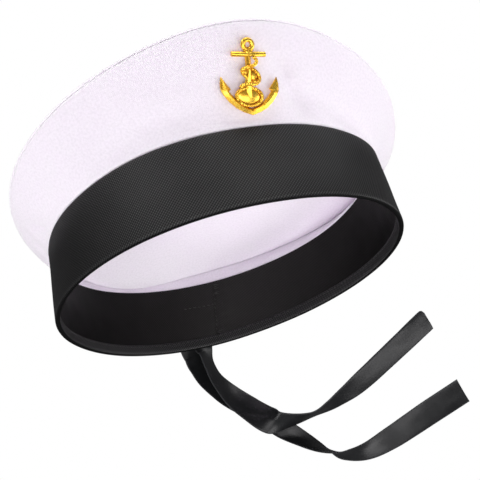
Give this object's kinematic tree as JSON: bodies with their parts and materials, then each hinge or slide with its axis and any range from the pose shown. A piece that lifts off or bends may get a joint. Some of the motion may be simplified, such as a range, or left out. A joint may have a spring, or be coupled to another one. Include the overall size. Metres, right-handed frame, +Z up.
{
  "type": "sailor cap",
  "caption": "Sailor cap with a flared white crown, low at the back, a stiff black head band, two black ribbon tails and a gilt anchor badge.",
  "frame": {"origin": "centre of the head opening, in the plane of the band's lower edge", "axes": "+Z up when the cap is worn level, the badge and the front of the cap face -Y, the ribbon tails reach towards +X"},
  "size_m": [0.2614, 0.2368, 0.1675],
  "materials": {
    "white_twill": "matte twill",
    "black_twill": "matte twill",
    "inner_cloth": "matte",
    "black_satin": "satin",
    "gilt": "polished gilt",
    "clutch_metal": "plain metal"
  },
  "bodies": {
    "root": {"crown_top": "white_twill", "crown_side": "white_twill", "band": "black_twill", "inner_band": "inner_cloth", "ribbon_upper": "black_satin", "ribbon_lower": "black_satin", "badge_anchor": "gilt", "badge_clutch": "clutch_metal"}
  },
  "joints": []
}
